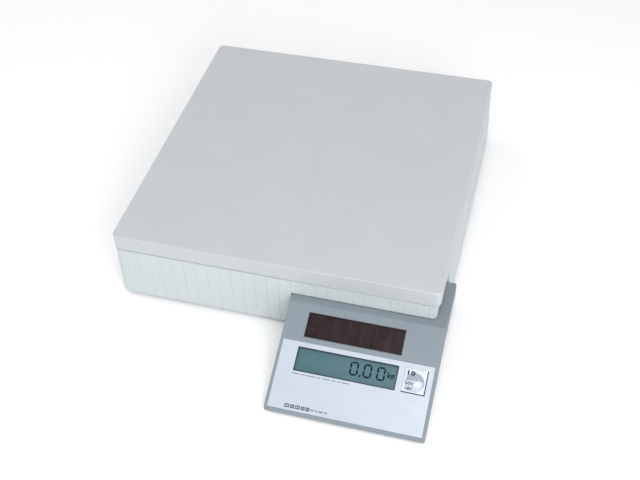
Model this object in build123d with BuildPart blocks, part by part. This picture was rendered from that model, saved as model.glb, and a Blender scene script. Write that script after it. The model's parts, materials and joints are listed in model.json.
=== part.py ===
from build123d import *

import os
from math import acos, atan2, cos, degrees, radians, sin, tan

# A solar-powered platform shipping scale. Millimetres, +Z up, the table at z = 0.
# The origin is under the middle of the whole object's box. Places are given from the
# platform's vertical centre line, by the planes level(), side() and slope() below.

# ---- Driving dimensions ----

# Platform and base
SIDE = 320.0
CORNER_R = 5.0
INNER_R = 1.0
DIAGONAL = 45.0
BASE_Z = 6.0
BASE_TOP_Z = 64.2
SEAM = 2.2
TOP_Z = 83.3
TOP_EDGE_R = 0.6
FLARE = 1.8
WALL = 3.0
GROOVE_PITCH = 12.0
GROOVE_COUNT = 26
GROOVE_W = 0.7
RIM_INSET = 3.5
RIM_T = 2.0
RIM_H = 4.8
RIM_LEDGE = 5.0
STEP_INSET = 1.2
STEP_H = 1.0
RIB_PITCH = 50.0
RIB_COUNT = 5
RIB_T = 2.0
RIB_H = 5.0
COVER_T = 2.5
DOCK_SETBACK = 2.5
PLATE_RECESS_X, PLATE_RECESS_Y = -60.0, 70.0
PLATE_RECESS_W, PLATE_RECESS_H = 80.0, 40.0
PLATE_RECESS_DEPTH = 0.6

# Feet of the base, under the corners that the dock leaves free
FEET = {
    "foot_back_left": (-135.0, 135.0),
    "foot_back_right": (135.0, 135.0),
    "foot_front_left": (-135.0, -135.0),
    "foot_front_right": (140.0, -92.0),
}
FOOT_R = 11.0
FOOT_STEM_R = 4.0
FOOT_HEAD_R = 5.2
FOOT_HEAD_H = 2.0
FIT_GAP = 0.1

# Weighing mechanism
PLATE_X = 260.0
PLATE_Y = 190.0
PLATE_T = 2.0
PLATE_CORNER_R = 8.0
PLATE_FLANGE_H = 8.0
BOSS_R = 5.0
BOSS_H = 6.0
CELL_X = 130.0
CELL_Y = 30.0
CELL_H = 22.0
CELL_BORE_R = 8.0
CELL_BORE_PITCH = 26.0
CELL_SLOT_H = 3.0
SPACER_X = 40.0
LOWER_SPACER_H = 5.0
UPPER_SPACER_H = 12.0
CELL_SCREW_NEAR = 31.0
CELL_SCREW_FAR = 56.0
CELL_SCREW_R = 3.0
CELL_SCREW_HEAD_R = 5.0
CELL_SCREW_HEAD_H = 6.0
CELL_SCREW_GRIP = 14.0
CELL_SCREW_ACCESS = 2.0
POTTING_X = 28.0
POTTING_Y = 24.0
POTTING_H = 2.0
SPIDER_L = 350.0
SPIDER_W = 34.0
SPIDER_HUB = 100.0
SPIDER_T = 3.0
SPIDER_RIM_T = 2.5
SPIDER_RIM_H = 8.0
PAD_PITCH = 220.0
PAD_R = 11.0
PAD_SKIRT = 4.0
PAD_EDGE_R = 1.0
POST_R = 8.0
POST_H = 14.0
POST_SPIGOT_R = 4.0
STIFFENER = 300.0
STIFFENER_T = 1.5
CUP_GAP = 0.4
CUP_T = 2.0
CUP_H = 5.0
STAKE_PITCH = 88.0
STAKE_COUNT = 4
STAKE_R = 2.5
STAKE_HEAD_R = 4.5
STAKE_HEAD_H = 1.2
STOP_PITCH = 144.0
STOP_R = 3.0
STOP_HEAD_R = 5.5
STOP_HEAD_H = 4.0
STOP_NUT_H = 5.0
STOP_GAP = 0.9
PLATE_SCREW_XS = (-120.0, 0.0, 120.0)
PLATE_SCREW_YS = (-85.0, 85.0)
PLATE_SCREW_R = 2.0
PLATE_SCREW_HEAD_R = 3.8
PLATE_SCREW_HEAD_H = 2.4
PLATE_SCREW_GRIP = 4.5

# Load cell lead and its grommet in the dock's back wall
LEAD_R = 2.0
LEAD_TURN = 0.45
CLIP_L = 4.0
CLIP_OPENING = 6.0
CLIP_SLACK = 0.6
CLIP_T = 1.6
GROMMET_X = 60.0
GROMMET_Z = 20.0
GROMMET_R = 7.0
GROMMET_NECK_R = 4.9
GROMMET_FLANGE = 1.2

# Console
OVERHANG = 8.0
CONSOLE_LEFT = 19.5
CONSOLE_DEPTH_IN = 48.2
FOLD_OUT = 8.2
REACH = 103.6
CONSOLE_TOP_Z = 47.3
SLOPE = radians(23.4)
SHELL = 2.2
SKIRT_Z = 30.3
EDGE_Z = 3.0
CONSOLE_CORNER_R = 2.0
CONSOLE_EDGE_R = 0.6
UNDER_INSET = 3.0
UNDER_WALL = 2.0
UNDER_Z = 1.5
UNDER_TOP_Z = 34.0
UNDER_FRONT_Z = 4.2
DOCK_GAP = 1.0
CEILING = 2.5
GUIDE_XS = (50.0, 130.0)
GUIDE_W = 4.0
GUIDE_H = 1.8
GUIDE_START = 6.0
GUIDE_SLACK = 0.5
SLOT_DEPTH = 1.2

# Windows, label and key on the console's sloping face: x, and distance down from the fold
SOLAR_X, SOLAR_S = 86.5, 20.0
SOLAR_W, SOLAR_H = 92.0, 24.0
SOLAR_BEVEL = 0.8
BEVEL_ANGLE = 45.0
OPENING_CUT = 3.3
LCD_X, LCD_S = 85.5, 53.5
LCD_W, LCD_H = 95.0, 23.0
KEY_X, KEY_S = 149.3, 53.5
KEY_W, KEY_H = 21.8, 23.0
LABEL_X, LABEL_S = 93.75, 69.5
LABEL_W, LABEL_H = 142.5, 64.0
LABEL_T = 0.4
LABEL_R = 0.8
WINDOW_DEPTH = 1.0
WINDOW_T = 1.0

# Layers inside the console, as depths below the sloping face
CELL_DEPTH, SOLAR_CELL_T = 2.4, 1.1
BACKPLATE_DEPTH, BACKPLATE_T = 3.6, 1.5
GLASS_DEPTH, GLASS_T = 2.5, 2.8
BOARD_DEPTH, BOARD_T = 6.8, 1.6
SOLAR_OVERLAP = 3.0
BACKPLATE_RIM = 2.0
GLASS_OVERLAP = 3.0
HOLDER_RIM = 1.2
BOARD_X, BOARD_S = 93.5, 54.0
BOARD_W, BOARD_H = 136.0, 50.0
BOARD_SCREWS = ((28.8, 33.0), (150.0, 33.0), (28.8, 75.0), (156.0, 75.0))
POST_SMALL_R = 2.4
SMALL_SCREW_R = 1.1
SMALL_SCREW_HEAD_R = 2.3
SMALL_SCREW_HEAD_H = 1.4
SMALL_SCREW_GRIP = 4.0

# Parts on the underside of the circuit board
CHIP_X, CHIP_S = 100.0, 54.0
CHIP_R, CHIP_T, CHIP_ROUND = 8.0, 2.0, 1.5
CAPACITOR_X, CAPACITOR_S = 60.0, 42.0
CAPACITOR_R, CAPACITOR_H, CAPACITOR_ROUND = 6.5, 7.0, 0.8
COMPONENT_ROWS = ((100.0, 38.0), (100.0, 70.0))
COMPONENT_PITCH, COMPONENT_COUNT = 7.0, 6
COMPONENT_W, COMPONENT_H, COMPONENT_T = 3.2, 1.6, 1.1
SOCKET_X, SOCKET_S = 74.0, 60.0
SOCKET_W, SOCKET_H, SOCKET_T = 14.0, 6.0, 6.0

# Key and its switch
KEY_GAP = 0.15
KEY_FLANGE = 0.8
KEY_FLANGE_DEPTH = 2.5
KEY_FLANGE_T = 0.8
KEY_DOME_R = 8.7
KEY_DOME_RISE = 0.7
KEY_DOME_DROP = 1.0
SWITCH_W = 6.0
SWITCH_DEPTH = 4.4
PLUNGER_R = 1.7
PLUNGER_L = 1.8
PLUNGER_GAP = 0.1
CAVITY_R = 2.6
CAVITY_DEPTH = 5.0
CAVITY_T = 1.4
DOME_T = 0.2
DOME_TAPER = -30.0

# Screws and feet of the console
CASE_SCREW_R = 1.25
CASE_SCREW_L = 6.2
CASE_HEAD_R = 2.75
CASE_HEAD_H = 1.7
CASE_BOSS_R = 4.2
CASE_BORE_R = 3.1
CASE_XS = (31.0, 156.5)
CASE_FRONT_BOSS_Z = 5.0
CASE_BACK_BOSS_Z = 13.0
CASE_FRONT_TOP_Z = 11.1
CASE_BACK_IN = 38.0
CASE_FRONT_OUT = 88.0
CONSOLE_FOOT_BACK_IN = 22.0
CONSOLE_FOOT_FRONT_OUT = 74.0
CONSOLE_FOOT_R = 5.0
CONSOLE_FOOT_SINK = 0.5

# ---- Derived dimensions ----

PX = (FLARE - OVERHANG) / 2
PY = (REACH - FLARE) / 2
FRONT = -SIDE / 2
FLOOR_Z = BASE_Z + WALL
DRAFT = atan2(FLARE, BASE_TOP_Z - BASE_Z)
LIP_Z = BASE_TOP_Z + SEAM
COVER_UNDER_Z = TOP_Z - COVER_T
PLATE_Z = FLOOR_Z + BOSS_H
PLATE_TOP_Z = PLATE_Z + PLATE_T
CELL_Z = PLATE_TOP_Z + LOWER_SPACER_H
CELL_TOP_Z = CELL_Z + CELL_H
SPIDER_Z = CELL_TOP_Z + UPPER_SPACER_H
SPIDER_TOP_Z = SPIDER_Z + SPIDER_T
POST_TOP_Z = SPIDER_TOP_Z + POST_H
STIFFENER_Z = COVER_UNDER_Z - STIFFENER_T
CONSOLE_RIGHT = SIDE / 2 + OVERHANG
CONSOLE_W = CONSOLE_RIGHT - CONSOLE_LEFT
BACK_Y = FRONT + CONSOLE_DEPTH_IN
FOLD_Y = FRONT - FOLD_OUT
FRONT_Y = FRONT - REACH
DOCK_LEFT = CONSOLE_LEFT - DOCK_GAP
DOCK_BACK = BACK_Y + DOCK_GAP
DOCK_TOP_Z = CONSOLE_TOP_Z + DOCK_GAP
PLATE_SCREWS = [(x, y) for x in PLATE_SCREW_XS for y in PLATE_SCREW_YS]
LOWER_SCREWS = [(-CELL_SCREW_FAR, 0), (-CELL_SCREW_NEAR, 0)]
UPPER_SCREWS = [(CELL_SCREW_NEAR, 0), (CELL_SCREW_FAR, 0)]
CASE_FRONT_Y = FRONT - CASE_FRONT_OUT
CASE_BACK_Y = FRONT + CASE_BACK_IN
CONSOLE_FEET = {
    "console_foot_back_left": (CASE_XS[0], FRONT + CONSOLE_FOOT_BACK_IN),
    "console_foot_back_right": (CASE_XS[1], FRONT + CONSOLE_FOOT_BACK_IN),
    "console_foot_front_left": (CASE_XS[0], FRONT - CONSOLE_FOOT_FRONT_OUT),
    "console_foot_front_right": (CASE_XS[1], FRONT - CONSOLE_FOOT_FRONT_OUT),
}
UNDER_CENTER_X = (CONSOLE_LEFT + CONSOLE_RIGHT) / 2
BOARD_UNDERSIDE = BOARD_DEPTH + BOARD_T


def level(z):
    """Horizontal plane at height z, its origin on the platform's centre line."""
    return Plane(origin=(PX, PY, z))


def side(x):
    """Upright plane across the console at x, with Y as its x and Z as its y."""
    return Plane(origin=(PX + x, PY, 0), x_dir=(0, 1, 0), z_dir=(1, 0, 0))


def wall(y, x, z):
    """Upright plane facing the front at y, its origin at x and z."""
    return Plane(origin=(PX + x, PY + y, z), x_dir=(1, 0, 0), z_dir=(0, -1, 0))


def slope(depth):
    """Plane parallel to the console's sloping face, depth below it, its origin at the fold."""
    fold = (PX, PY + FOLD_Y, CONSOLE_TOP_Z)
    return Plane(origin=fold, x_dir=(1, 0, 0), z_dir=(0, -sin(SLOPE), cos(SLOPE))).offset(-depth)


def face_z(y, depth=0.0):
    """Height at y of the sloping face, or of the surface that lies depth below it."""
    return CONSOLE_TOP_Z - (FOLD_Y - y) * tan(SLOPE) - depth / cos(SLOPE)


def square(inset, mode=Mode.ADD):
    """The rounded square of the platform's outline, drawn in by inset."""
    width = SIDE - 2 * inset
    return RectangleRounded(width, width, max(CORNER_R - inset, INNER_R), mode=mode)


def flare(z):
    """How far the base's walls stand out at height z, beyond their top edge."""
    return (BASE_TOP_Z - z) * tan(DRAFT)


def save(part, name):
    """Label a finished sub-part and write its STEP file."""
    part.label = name
    export_step(part, f"parts/{name}.step")


os.makedirs("parts", exist_ok=True)

# ---- Base ----

# Base housing: a flared tub with grooved walls, and a dock for the console at its front right corner
with BuildPart() as base_housing:
    with BuildSketch(level(BASE_Z)):
        square(-FLARE)
    extrude(amount=BASE_TOP_Z - BASE_Z, taper=degrees(DRAFT))
    with BuildSketch(level(FLOOR_Z)):
        square(WALL - flare(FLOOR_Z))
    extrude(amount=BASE_TOP_Z - FLOOR_Z, taper=degrees(DRAFT), mode=Mode.SUBTRACT)
    # V grooves up the four walls, which lean in with them
    for quarter in range(4):
        wall_foot = level(BASE_Z).rotated((0, 0, 90 * quarter))
        up_the_wall = wall_foot.y_dir * sin(DRAFT) + wall_foot.z_dir * cos(DRAFT)
        with BuildSketch(wall_foot):
            with Locations((0, -SIDE / 2 - FLARE)):
                with GridLocations(GROOVE_PITCH, 0, GROOVE_COUNT, 1):
                    Rectangle(GROOVE_W, GROOVE_W, rotation=DIAGONAL)
        extrude(amount=(BASE_TOP_Z - BASE_Z) / cos(DRAFT), dir=up_the_wall, mode=Mode.SUBTRACT)
    # Ledge, step and upstand that close the seam under the platform cover
    with BuildSketch(level(BASE_TOP_Z - RIM_LEDGE)):
        square(WALL / 2)
        square(RIM_INSET + RIM_T, mode=Mode.SUBTRACT)
    extrude(amount=RIM_LEDGE)
    for outer_inset, height in ((STEP_INSET, STEP_H), (RIM_INSET, RIM_H)):
        with BuildSketch(level(BASE_TOP_Z)):
            square(outer_inset)
            square(RIM_INSET + RIM_T, mode=Mode.SUBTRACT)
        extrude(amount=height)
    # Floor ribs and the bosses under the base plate
    with BuildSketch(level(FLOOR_Z)):
        with GridLocations(0, RIB_PITCH, 1, RIB_COUNT):
            Rectangle(SIDE - WALL / 2, RIB_T)
        with GridLocations(RIB_PITCH, 0, RIB_COUNT, 1):
            Rectangle(RIB_T, SIDE - WALL / 2)
    extrude(amount=RIB_H)
    with BuildSketch(level(FLOOR_Z)):
        with Locations(*PLATE_SCREWS):
            Circle(BOSS_R)
    extrude(amount=BOSS_H)
    # Dock: a roofed block inside the corner, opened to the front, right and below
    with BuildSketch(level(BASE_Z)):
        square(WALL / 4)
        with Locations((DOCK_LEFT - WALL, DOCK_BACK + WALL)):
            Rectangle(SIDE, SIDE, align=(Align.MIN, Align.MAX), mode=Mode.INTERSECT)
    extrude(amount=DOCK_TOP_Z + CEILING - BASE_Z)
    with BuildSketch(level(BASE_Z)):
        with Locations((DOCK_LEFT, DOCK_BACK)):
            Rectangle(SIDE, SIDE, align=(Align.MIN, Align.MAX))
    extrude(amount=DOCK_TOP_Z - BASE_Z, mode=Mode.SUBTRACT)
    # The right wall stands further in over the dock, beside the console's arm
    with BuildSketch(level(DOCK_TOP_Z)):
        square(WALL / 2)
        with Locations((SIDE / 2 - DOCK_SETBACK - WALL, DOCK_BACK + WALL)):
            Rectangle(SIDE, SIDE, align=(Align.MIN, Align.MAX), mode=Mode.INTERSECT)
    extrude(amount=BASE_TOP_Z - DOCK_TOP_Z)
    with BuildSketch(level(DOCK_TOP_Z)):
        with Locations((SIDE / 2 - DOCK_SETBACK - CORNER_R, DOCK_BACK)):
            Rectangle(SIDE, SIDE, align=(Align.MIN, Align.MAX))
        with Locations((-DOCK_SETBACK / 2, 0)):
            front_to_back = SIDE + 2 * flare(DOCK_TOP_Z)
            RectangleRounded(SIDE - DOCK_SETBACK, front_to_back, CORNER_R, mode=Mode.SUBTRACT)
    extrude(amount=BASE_TOP_Z + STEP_H - DOCK_TOP_Z, mode=Mode.SUBTRACT)
    # Guide ribs on the dock's roof
    with BuildSketch(level(DOCK_TOP_Z)):
        with Locations(*[(x, DOCK_BACK) for x in GUIDE_XS]):
            Rectangle(GUIDE_W, DOCK_BACK - FRONT - GUIDE_START, align=(Align.CENTER, Align.MAX))
    extrude(amount=-GUIDE_H)
    # Holes: foot stems, load cell screws, plate screws and the lead's grommet
    with BuildSketch(level(BASE_Z)):
        with Locations(*FEET.values()):
            Circle(FOOT_STEM_R + FIT_GAP)
        with Locations(*LOWER_SCREWS):
            Circle(CELL_SCREW_HEAD_R + CELL_SCREW_ACCESS)
    extrude(amount=WALL + RIB_H, mode=Mode.SUBTRACT)
    with BuildSketch(level(PLATE_Z)):
        with Locations(*PLATE_SCREWS):
            Circle(PLATE_SCREW_R + FIT_GAP)
    extrude(amount=-(PLATE_SCREW_GRIP + 1), mode=Mode.SUBTRACT)
    with BuildSketch(wall(DOCK_BACK, GROMMET_X, GROMMET_Z)):
        Circle(GROMMET_NECK_R + FIT_GAP)
    extrude(amount=-WALL, mode=Mode.SUBTRACT)
    # Shallow recess for the rating plate under the floor
    with BuildSketch(level(BASE_Z)):
        with Locations((PLATE_RECESS_X, PLATE_RECESS_Y)):
            RectangleRounded(PLATE_RECESS_W, PLATE_RECESS_H, INNER_R)
    extrude(amount=PLATE_RECESS_DEPTH, mode=Mode.SUBTRACT)
save(base_housing.part, "base_housing")

# Feet: rubber discs with a stem and a head that snap through the floor
for foot_name, (foot_x, foot_y) in FEET.items():
    with BuildPart() as foot:
        with BuildSketch(level(0)):
            with Locations((foot_x, foot_y)):
                Circle(FOOT_R)
        extrude(amount=BASE_Z)
        chamfer(foot.faces().sort_by(Axis.Z)[0].edges(), length=BASE_Z / 4)
        with BuildSketch(level(BASE_Z)):
            with Locations((foot_x, foot_y)):
                Circle(FOOT_STEM_R)
        extrude(amount=WALL + FIT_GAP)
        with BuildSketch(level(FLOOR_Z + FIT_GAP)):
            with Locations((foot_x, foot_y)):
                Circle(FOOT_HEAD_R)
        extrude(amount=FOOT_HEAD_H)
        fillet(foot.faces().sort_by(Axis.Z)[-1].edges(), radius=FOOT_HEAD_H / 2)
    save(foot.part, foot_name)

# Base plate: steel sheet on the housing's bosses, turned up at its left and right edges
with BuildPart() as base_plate:
    with BuildSketch(level(PLATE_Z)):
        RectangleRounded(PLATE_X, PLATE_Y, PLATE_CORNER_R)
        with Locations(*PLATE_SCREWS):
            Circle(PLATE_SCREW_R + 2 * FIT_GAP, mode=Mode.SUBTRACT)
        with Locations(*LOWER_SCREWS):
            Circle(CELL_SCREW_R + FIT_GAP, mode=Mode.SUBTRACT)
        with GridLocations(STOP_PITCH, STOP_PITCH, 2, 2):
            Circle(STOP_R, mode=Mode.SUBTRACT)
    extrude(amount=PLATE_T)
    with BuildSketch(level(PLATE_Z)):
        with GridLocations(PLATE_X - PLATE_T, 0, 2, 1):
            Rectangle(PLATE_T, PLATE_Y - 2 * PLATE_CORNER_R)
    extrude(amount=PLATE_T + PLATE_FLANGE_H)
save(base_plate.part, "base_plate")

# Screws that hold the base plate down
with BuildPart() as plate_screws:
    with BuildSketch(level(PLATE_TOP_Z)):
        with Locations(*PLATE_SCREWS):
            Circle(PLATE_SCREW_HEAD_R)
    extrude(amount=PLATE_SCREW_HEAD_H)
    fillet(plate_screws.faces().group_by(Axis.Z)[-1].edges(), radius=PLATE_SCREW_HEAD_H / 3)
    with BuildSketch(level(PLATE_TOP_Z)):
        with Locations(*PLATE_SCREWS):
            Circle(PLATE_SCREW_R)
    extrude(amount=-(PLATE_T + PLATE_SCREW_GRIP))
save(plate_screws.part, "plate_screws")

# Spacer under the load cell's fixed end
with BuildPart() as lower_spacer:
    with BuildSketch(level(PLATE_TOP_Z)):
        with Locations((-(CELL_X - SPACER_X) / 2, 0)):
            Rectangle(SPACER_X, CELL_Y)
        with Locations(*LOWER_SCREWS):
            Circle(CELL_SCREW_R + FIT_GAP, mode=Mode.SUBTRACT)
    extrude(amount=LOWER_SPACER_H)
save(lower_spacer.part, "lower_spacer")

# Load cell: an aluminium bar with two joined bores that leave thin bending webs
with BuildPart() as load_cell:
    with BuildSketch(level(CELL_Z)):
        Rectangle(CELL_X, CELL_Y)
    extrude(amount=CELL_H)
    with BuildSketch(wall(-CELL_Y / 2, 0, CELL_Z + CELL_H / 2)):
        with GridLocations(CELL_BORE_PITCH, 0, 2, 1):
            Circle(CELL_BORE_R)
        Rectangle(CELL_BORE_PITCH, CELL_SLOT_H)
    extrude(amount=-CELL_Y, mode=Mode.SUBTRACT)
    with BuildSketch(level(CELL_Z)):
        with Locations(*LOWER_SCREWS, *UPPER_SCREWS):
            Circle(CELL_SCREW_R + FIT_GAP / 2)
    extrude(amount=CELL_H, mode=Mode.SUBTRACT)
save(load_cell.part, "load_cell")

# Potting compound over the strain gauges, above and below the bores
with BuildPart() as gauge_potting:
    with BuildSketch(level(CELL_TOP_Z)):
        RectangleRounded(POTTING_X, POTTING_Y, POTTING_H)
    extrude(amount=POTTING_H)
    with BuildSketch(level(CELL_Z)):
        RectangleRounded(POTTING_X, POTTING_Y, POTTING_H)
    extrude(amount=-POTTING_H)
save(gauge_potting.part, "gauge_potting")

# Screws up through the base plate into the load cell's fixed end
with BuildPart() as lower_cell_screws:
    with BuildSketch(level(PLATE_Z)):
        with Locations(*LOWER_SCREWS):
            Circle(CELL_SCREW_HEAD_R)
            RegularPolygon(CELL_SCREW_HEAD_R / 2, 6, mode=Mode.SUBTRACT)
    extrude(amount=-CELL_SCREW_HEAD_H)
    with BuildSketch(level(PLATE_Z - CELL_SCREW_HEAD_H / 2)):
        with Locations(*LOWER_SCREWS):
            Circle(CELL_SCREW_R)
    extrude(amount=CELL_SCREW_HEAD_H / 2 + PLATE_T + LOWER_SPACER_H + CELL_SCREW_GRIP)
save(lower_cell_screws.part, "lower_cell_screws")

# Overload stops: adjustable screws that catch the load spider before the cell is overstrained
with BuildPart() as overload_stops:
    with BuildSketch(level(PLATE_Z)):
        with GridLocations(STOP_PITCH, STOP_PITCH, 2, 2):
            Circle(STOP_R - FIT_GAP / 2)
    extrude(amount=SPIDER_Z - STOP_GAP - PLATE_Z)
    with BuildSketch(level(SPIDER_Z - STOP_GAP)):
        with GridLocations(STOP_PITCH, STOP_PITCH, 2, 2):
            Circle(STOP_HEAD_R)
    extrude(amount=-STOP_HEAD_H)
save(overload_stops.part, "overload_stops")

# Lock nuts of the overload stops
with BuildPart() as stop_nuts:
    with BuildSketch(level(PLATE_TOP_Z)):
        with GridLocations(STOP_PITCH, STOP_PITCH, 2, 2):
            RegularPolygon(STOP_HEAD_R, 6)
            Circle(STOP_R, mode=Mode.SUBTRACT)
    extrude(amount=STOP_NUT_H)
save(stop_nuts.part, "stop_nuts")

# Load cell lead: from the cell's fixed end, over the base plate, into the grommet
with BuildPart() as cell_lead:
    lead_points = [
        Vector(-20, -CELL_Y / 2, CELL_Z + CELL_H / 2),
        Vector(-20, -38, CELL_Z + CELL_H / 2 - 1),
        Vector(-10, -62, PLATE_TOP_Z + 5),
        Vector(20, -80, PLATE_TOP_Z + 3),
        Vector(46, -84, PLATE_TOP_Z + 4),
        Vector(GROMMET_X, -96, GROMMET_Z),
        Vector(GROMMET_X, DOCK_BACK + WALL / 2, GROMMET_Z),
    ]
    lead_radii = []
    for before, corner, after in zip(lead_points, lead_points[1:], lead_points[2:]):
        run_in = corner - before
        run_out = after - corner
        turn = radians(run_in.get_angle(run_out))
        lead_radii.append(LEAD_TURN * min(run_in.length, run_out.length) / tan(turn / 2))
    with BuildLine() as lead_path:
        FilletPolyline(*[(PX + p.X, PY + p.Y, p.Z) for p in lead_points], radius=lead_radii)
    with BuildSketch(wall(lead_points[0].Y, lead_points[0].X, lead_points[0].Z)):
        Circle(LEAD_R)
    sweep(path=lead_path.line, transition=Transition.ROUND)
print("cell_lead arc radii", [round(r, 1) for r in lead_radii])
save(cell_lead.part, "cell_lead")

# Clips that hold the lead on the base plate, each over the middle of a straight run
with BuildPart() as lead_clips:
    for before, after in zip(lead_points[2:4], lead_points[3:5]):
        middle = (before + after) / 2
        heading = degrees(atan2(after.Y - before.Y, after.X - before.X))
        clip_plane = Plane(origin=(PX + middle.X, PY + middle.Y, PLATE_TOP_Z))
        opening_h = middle.Z + LEAD_R + CLIP_SLACK - PLATE_TOP_Z
        with BuildSketch(clip_plane.rotated((0, 0, heading))):
            Rectangle(CLIP_L, CLIP_OPENING + 2 * CLIP_T)
        extrude(amount=opening_h + CLIP_T)
        with BuildSketch(clip_plane.rotated((0, 0, heading))):
            Rectangle(2 * CLIP_L, CLIP_OPENING)
        extrude(amount=opening_h, mode=Mode.SUBTRACT)
save(lead_clips.part, "lead_clips")

# Rubber grommet where the lead leaves the base into the dock
with BuildPart() as lead_grommet:
    with BuildSketch(wall(DOCK_BACK - GROMMET_FLANGE, GROMMET_X, GROMMET_Z)):
        Circle(GROMMET_NECK_R)
    extrude(amount=-(WALL + 2 * GROMMET_FLANGE))
    for flange_y in (DOCK_BACK - GROMMET_FLANGE, DOCK_BACK + WALL):
        with BuildSketch(wall(flange_y, GROMMET_X, GROMMET_Z)):
            Circle(GROMMET_R)
        extrude(amount=-GROMMET_FLANGE)
    with BuildSketch(wall(DOCK_BACK - GROMMET_FLANGE, GROMMET_X, GROMMET_Z)):
        Circle(LEAD_R + FIT_GAP)
    extrude(amount=-(WALL + 2 * GROMMET_FLANGE), mode=Mode.SUBTRACT)
save(lead_grommet.part, "lead_grommet")

# ---- Load carrier ----

# Spacer on the load cell's free end
with BuildPart() as upper_spacer:
    with BuildSketch(level(CELL_TOP_Z)):
        with Locations(((CELL_X - SPACER_X) / 2, 0)):
            Rectangle(SPACER_X, CELL_Y)
        with Locations(*UPPER_SCREWS):
            Circle(CELL_SCREW_R + FIT_GAP, mode=Mode.SUBTRACT)
    extrude(amount=UPPER_SPACER_H)
save(upper_spacer.part, "upper_spacer")

# Load spider: four pressed steel arms with a turned-up rim, reaching towards the corners
with BuildPart() as load_spider:
    with BuildSketch(level(SPIDER_Z)):
        for turned in (DIAGONAL, -DIAGONAL):
            SlotOverall(SPIDER_L, SPIDER_W, rotation=turned)
        Rectangle(SPIDER_HUB, SPIDER_HUB)
    extrude(amount=SPIDER_T + SPIDER_RIM_H)
    with BuildSketch(level(SPIDER_TOP_Z)):
        for turned in (DIAGONAL, -DIAGONAL):
            SlotOverall(SPIDER_L - 2 * SPIDER_RIM_T, SPIDER_W - 2 * SPIDER_RIM_T, rotation=turned)
        Rectangle(SPIDER_HUB - 2 * SPIDER_RIM_T, SPIDER_HUB - 2 * SPIDER_RIM_T)
    extrude(amount=SPIDER_RIM_H, mode=Mode.SUBTRACT)
    with BuildSketch(level(SPIDER_Z)):
        with GridLocations(PAD_PITCH, PAD_PITCH, 2, 2):
            Circle(POST_SPIGOT_R + FIT_GAP)
        with Locations(*UPPER_SCREWS):
            Circle(CELL_SCREW_R + FIT_GAP)
    extrude(amount=SPIDER_T, mode=Mode.SUBTRACT)
save(load_spider.part, "load_spider")

# Screws down through the spider into the load cell's free end
with BuildPart() as upper_cell_screws:
    with BuildSketch(level(SPIDER_TOP_Z)):
        with Locations(*UPPER_SCREWS):
            Circle(CELL_SCREW_HEAD_R)
            RegularPolygon(CELL_SCREW_HEAD_R / 2, 6, mode=Mode.SUBTRACT)
    extrude(amount=CELL_SCREW_HEAD_H)
    with BuildSketch(level(SPIDER_TOP_Z + CELL_SCREW_HEAD_H / 2)):
        with Locations(*UPPER_SCREWS):
            Circle(CELL_SCREW_R)
    extrude(amount=-(CELL_SCREW_HEAD_H / 2 + SPIDER_T + UPPER_SPACER_H + CELL_SCREW_GRIP))
save(upper_cell_screws.part, "upper_cell_screws")

# Posts riveted through the spider's arms
with BuildPart() as support_posts:
    with BuildSketch(level(SPIDER_TOP_Z)):
        with GridLocations(PAD_PITCH, PAD_PITCH, 2, 2):
            Circle(POST_R)
    extrude(amount=POST_H)
    with BuildSketch(level(SPIDER_Z)):
        with GridLocations(PAD_PITCH, PAD_PITCH, 2, 2):
            Circle(POST_SPIGOT_R)
    extrude(amount=SPIDER_T)
save(support_posts.part, "support_posts")

# Rubber pads on the posts, which carry the platform
PADS = {
    "pad_back_left": (-PAD_PITCH / 2, PAD_PITCH / 2),
    "pad_back_right": (PAD_PITCH / 2, PAD_PITCH / 2),
    "pad_front_left": (-PAD_PITCH / 2, -PAD_PITCH / 2),
    "pad_front_right": (PAD_PITCH / 2, -PAD_PITCH / 2),
}
for pad_name, pad_at in PADS.items():
    with BuildPart() as pad:
        with BuildSketch(level(POST_TOP_Z - PAD_SKIRT)):
            with Locations(pad_at):
                Circle(PAD_R)
        extrude(amount=STIFFENER_Z - FIT_GAP - POST_TOP_Z + PAD_SKIRT)
        fillet(pad.faces().sort_by(Axis.Z)[-1].edges(), radius=PAD_EDGE_R)
        with BuildSketch(level(POST_TOP_Z - PAD_SKIRT)):
            with Locations(pad_at):
                Circle(POST_R + FIT_GAP / 2)
        extrude(amount=PAD_SKIRT, mode=Mode.SUBTRACT)
    save(pad.part, pad_name)

# ---- Platform ----

# Platform cover: a shallow upturned tray, with heat-staked pins that hold the stiffener
with BuildPart() as platform_cover:
    with BuildSketch(level(LIP_Z)):
        square(0)
    extrude(amount=TOP_Z - LIP_Z)
    fillet(platform_cover.faces().sort_by(Axis.Z)[-1].edges(), radius=TOP_EDGE_R)
    with BuildSketch(level(LIP_Z)):
        square(COVER_T)
    extrude(amount=COVER_UNDER_Z - LIP_Z, mode=Mode.SUBTRACT)
    with BuildSketch(level(COVER_UNDER_Z)):
        with GridLocations(STAKE_PITCH, STAKE_PITCH, STAKE_COUNT, STAKE_COUNT):
            Circle(STAKE_R)
    extrude(amount=-STIFFENER_T)
    with BuildSketch(level(STIFFENER_Z)):
        with GridLocations(STAKE_PITCH, STAKE_PITCH, STAKE_COUNT, STAKE_COUNT):
            Circle(STAKE_HEAD_R)
    extrude(amount=-STAKE_HEAD_H)
save(platform_cover.part, "platform_cover")

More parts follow.
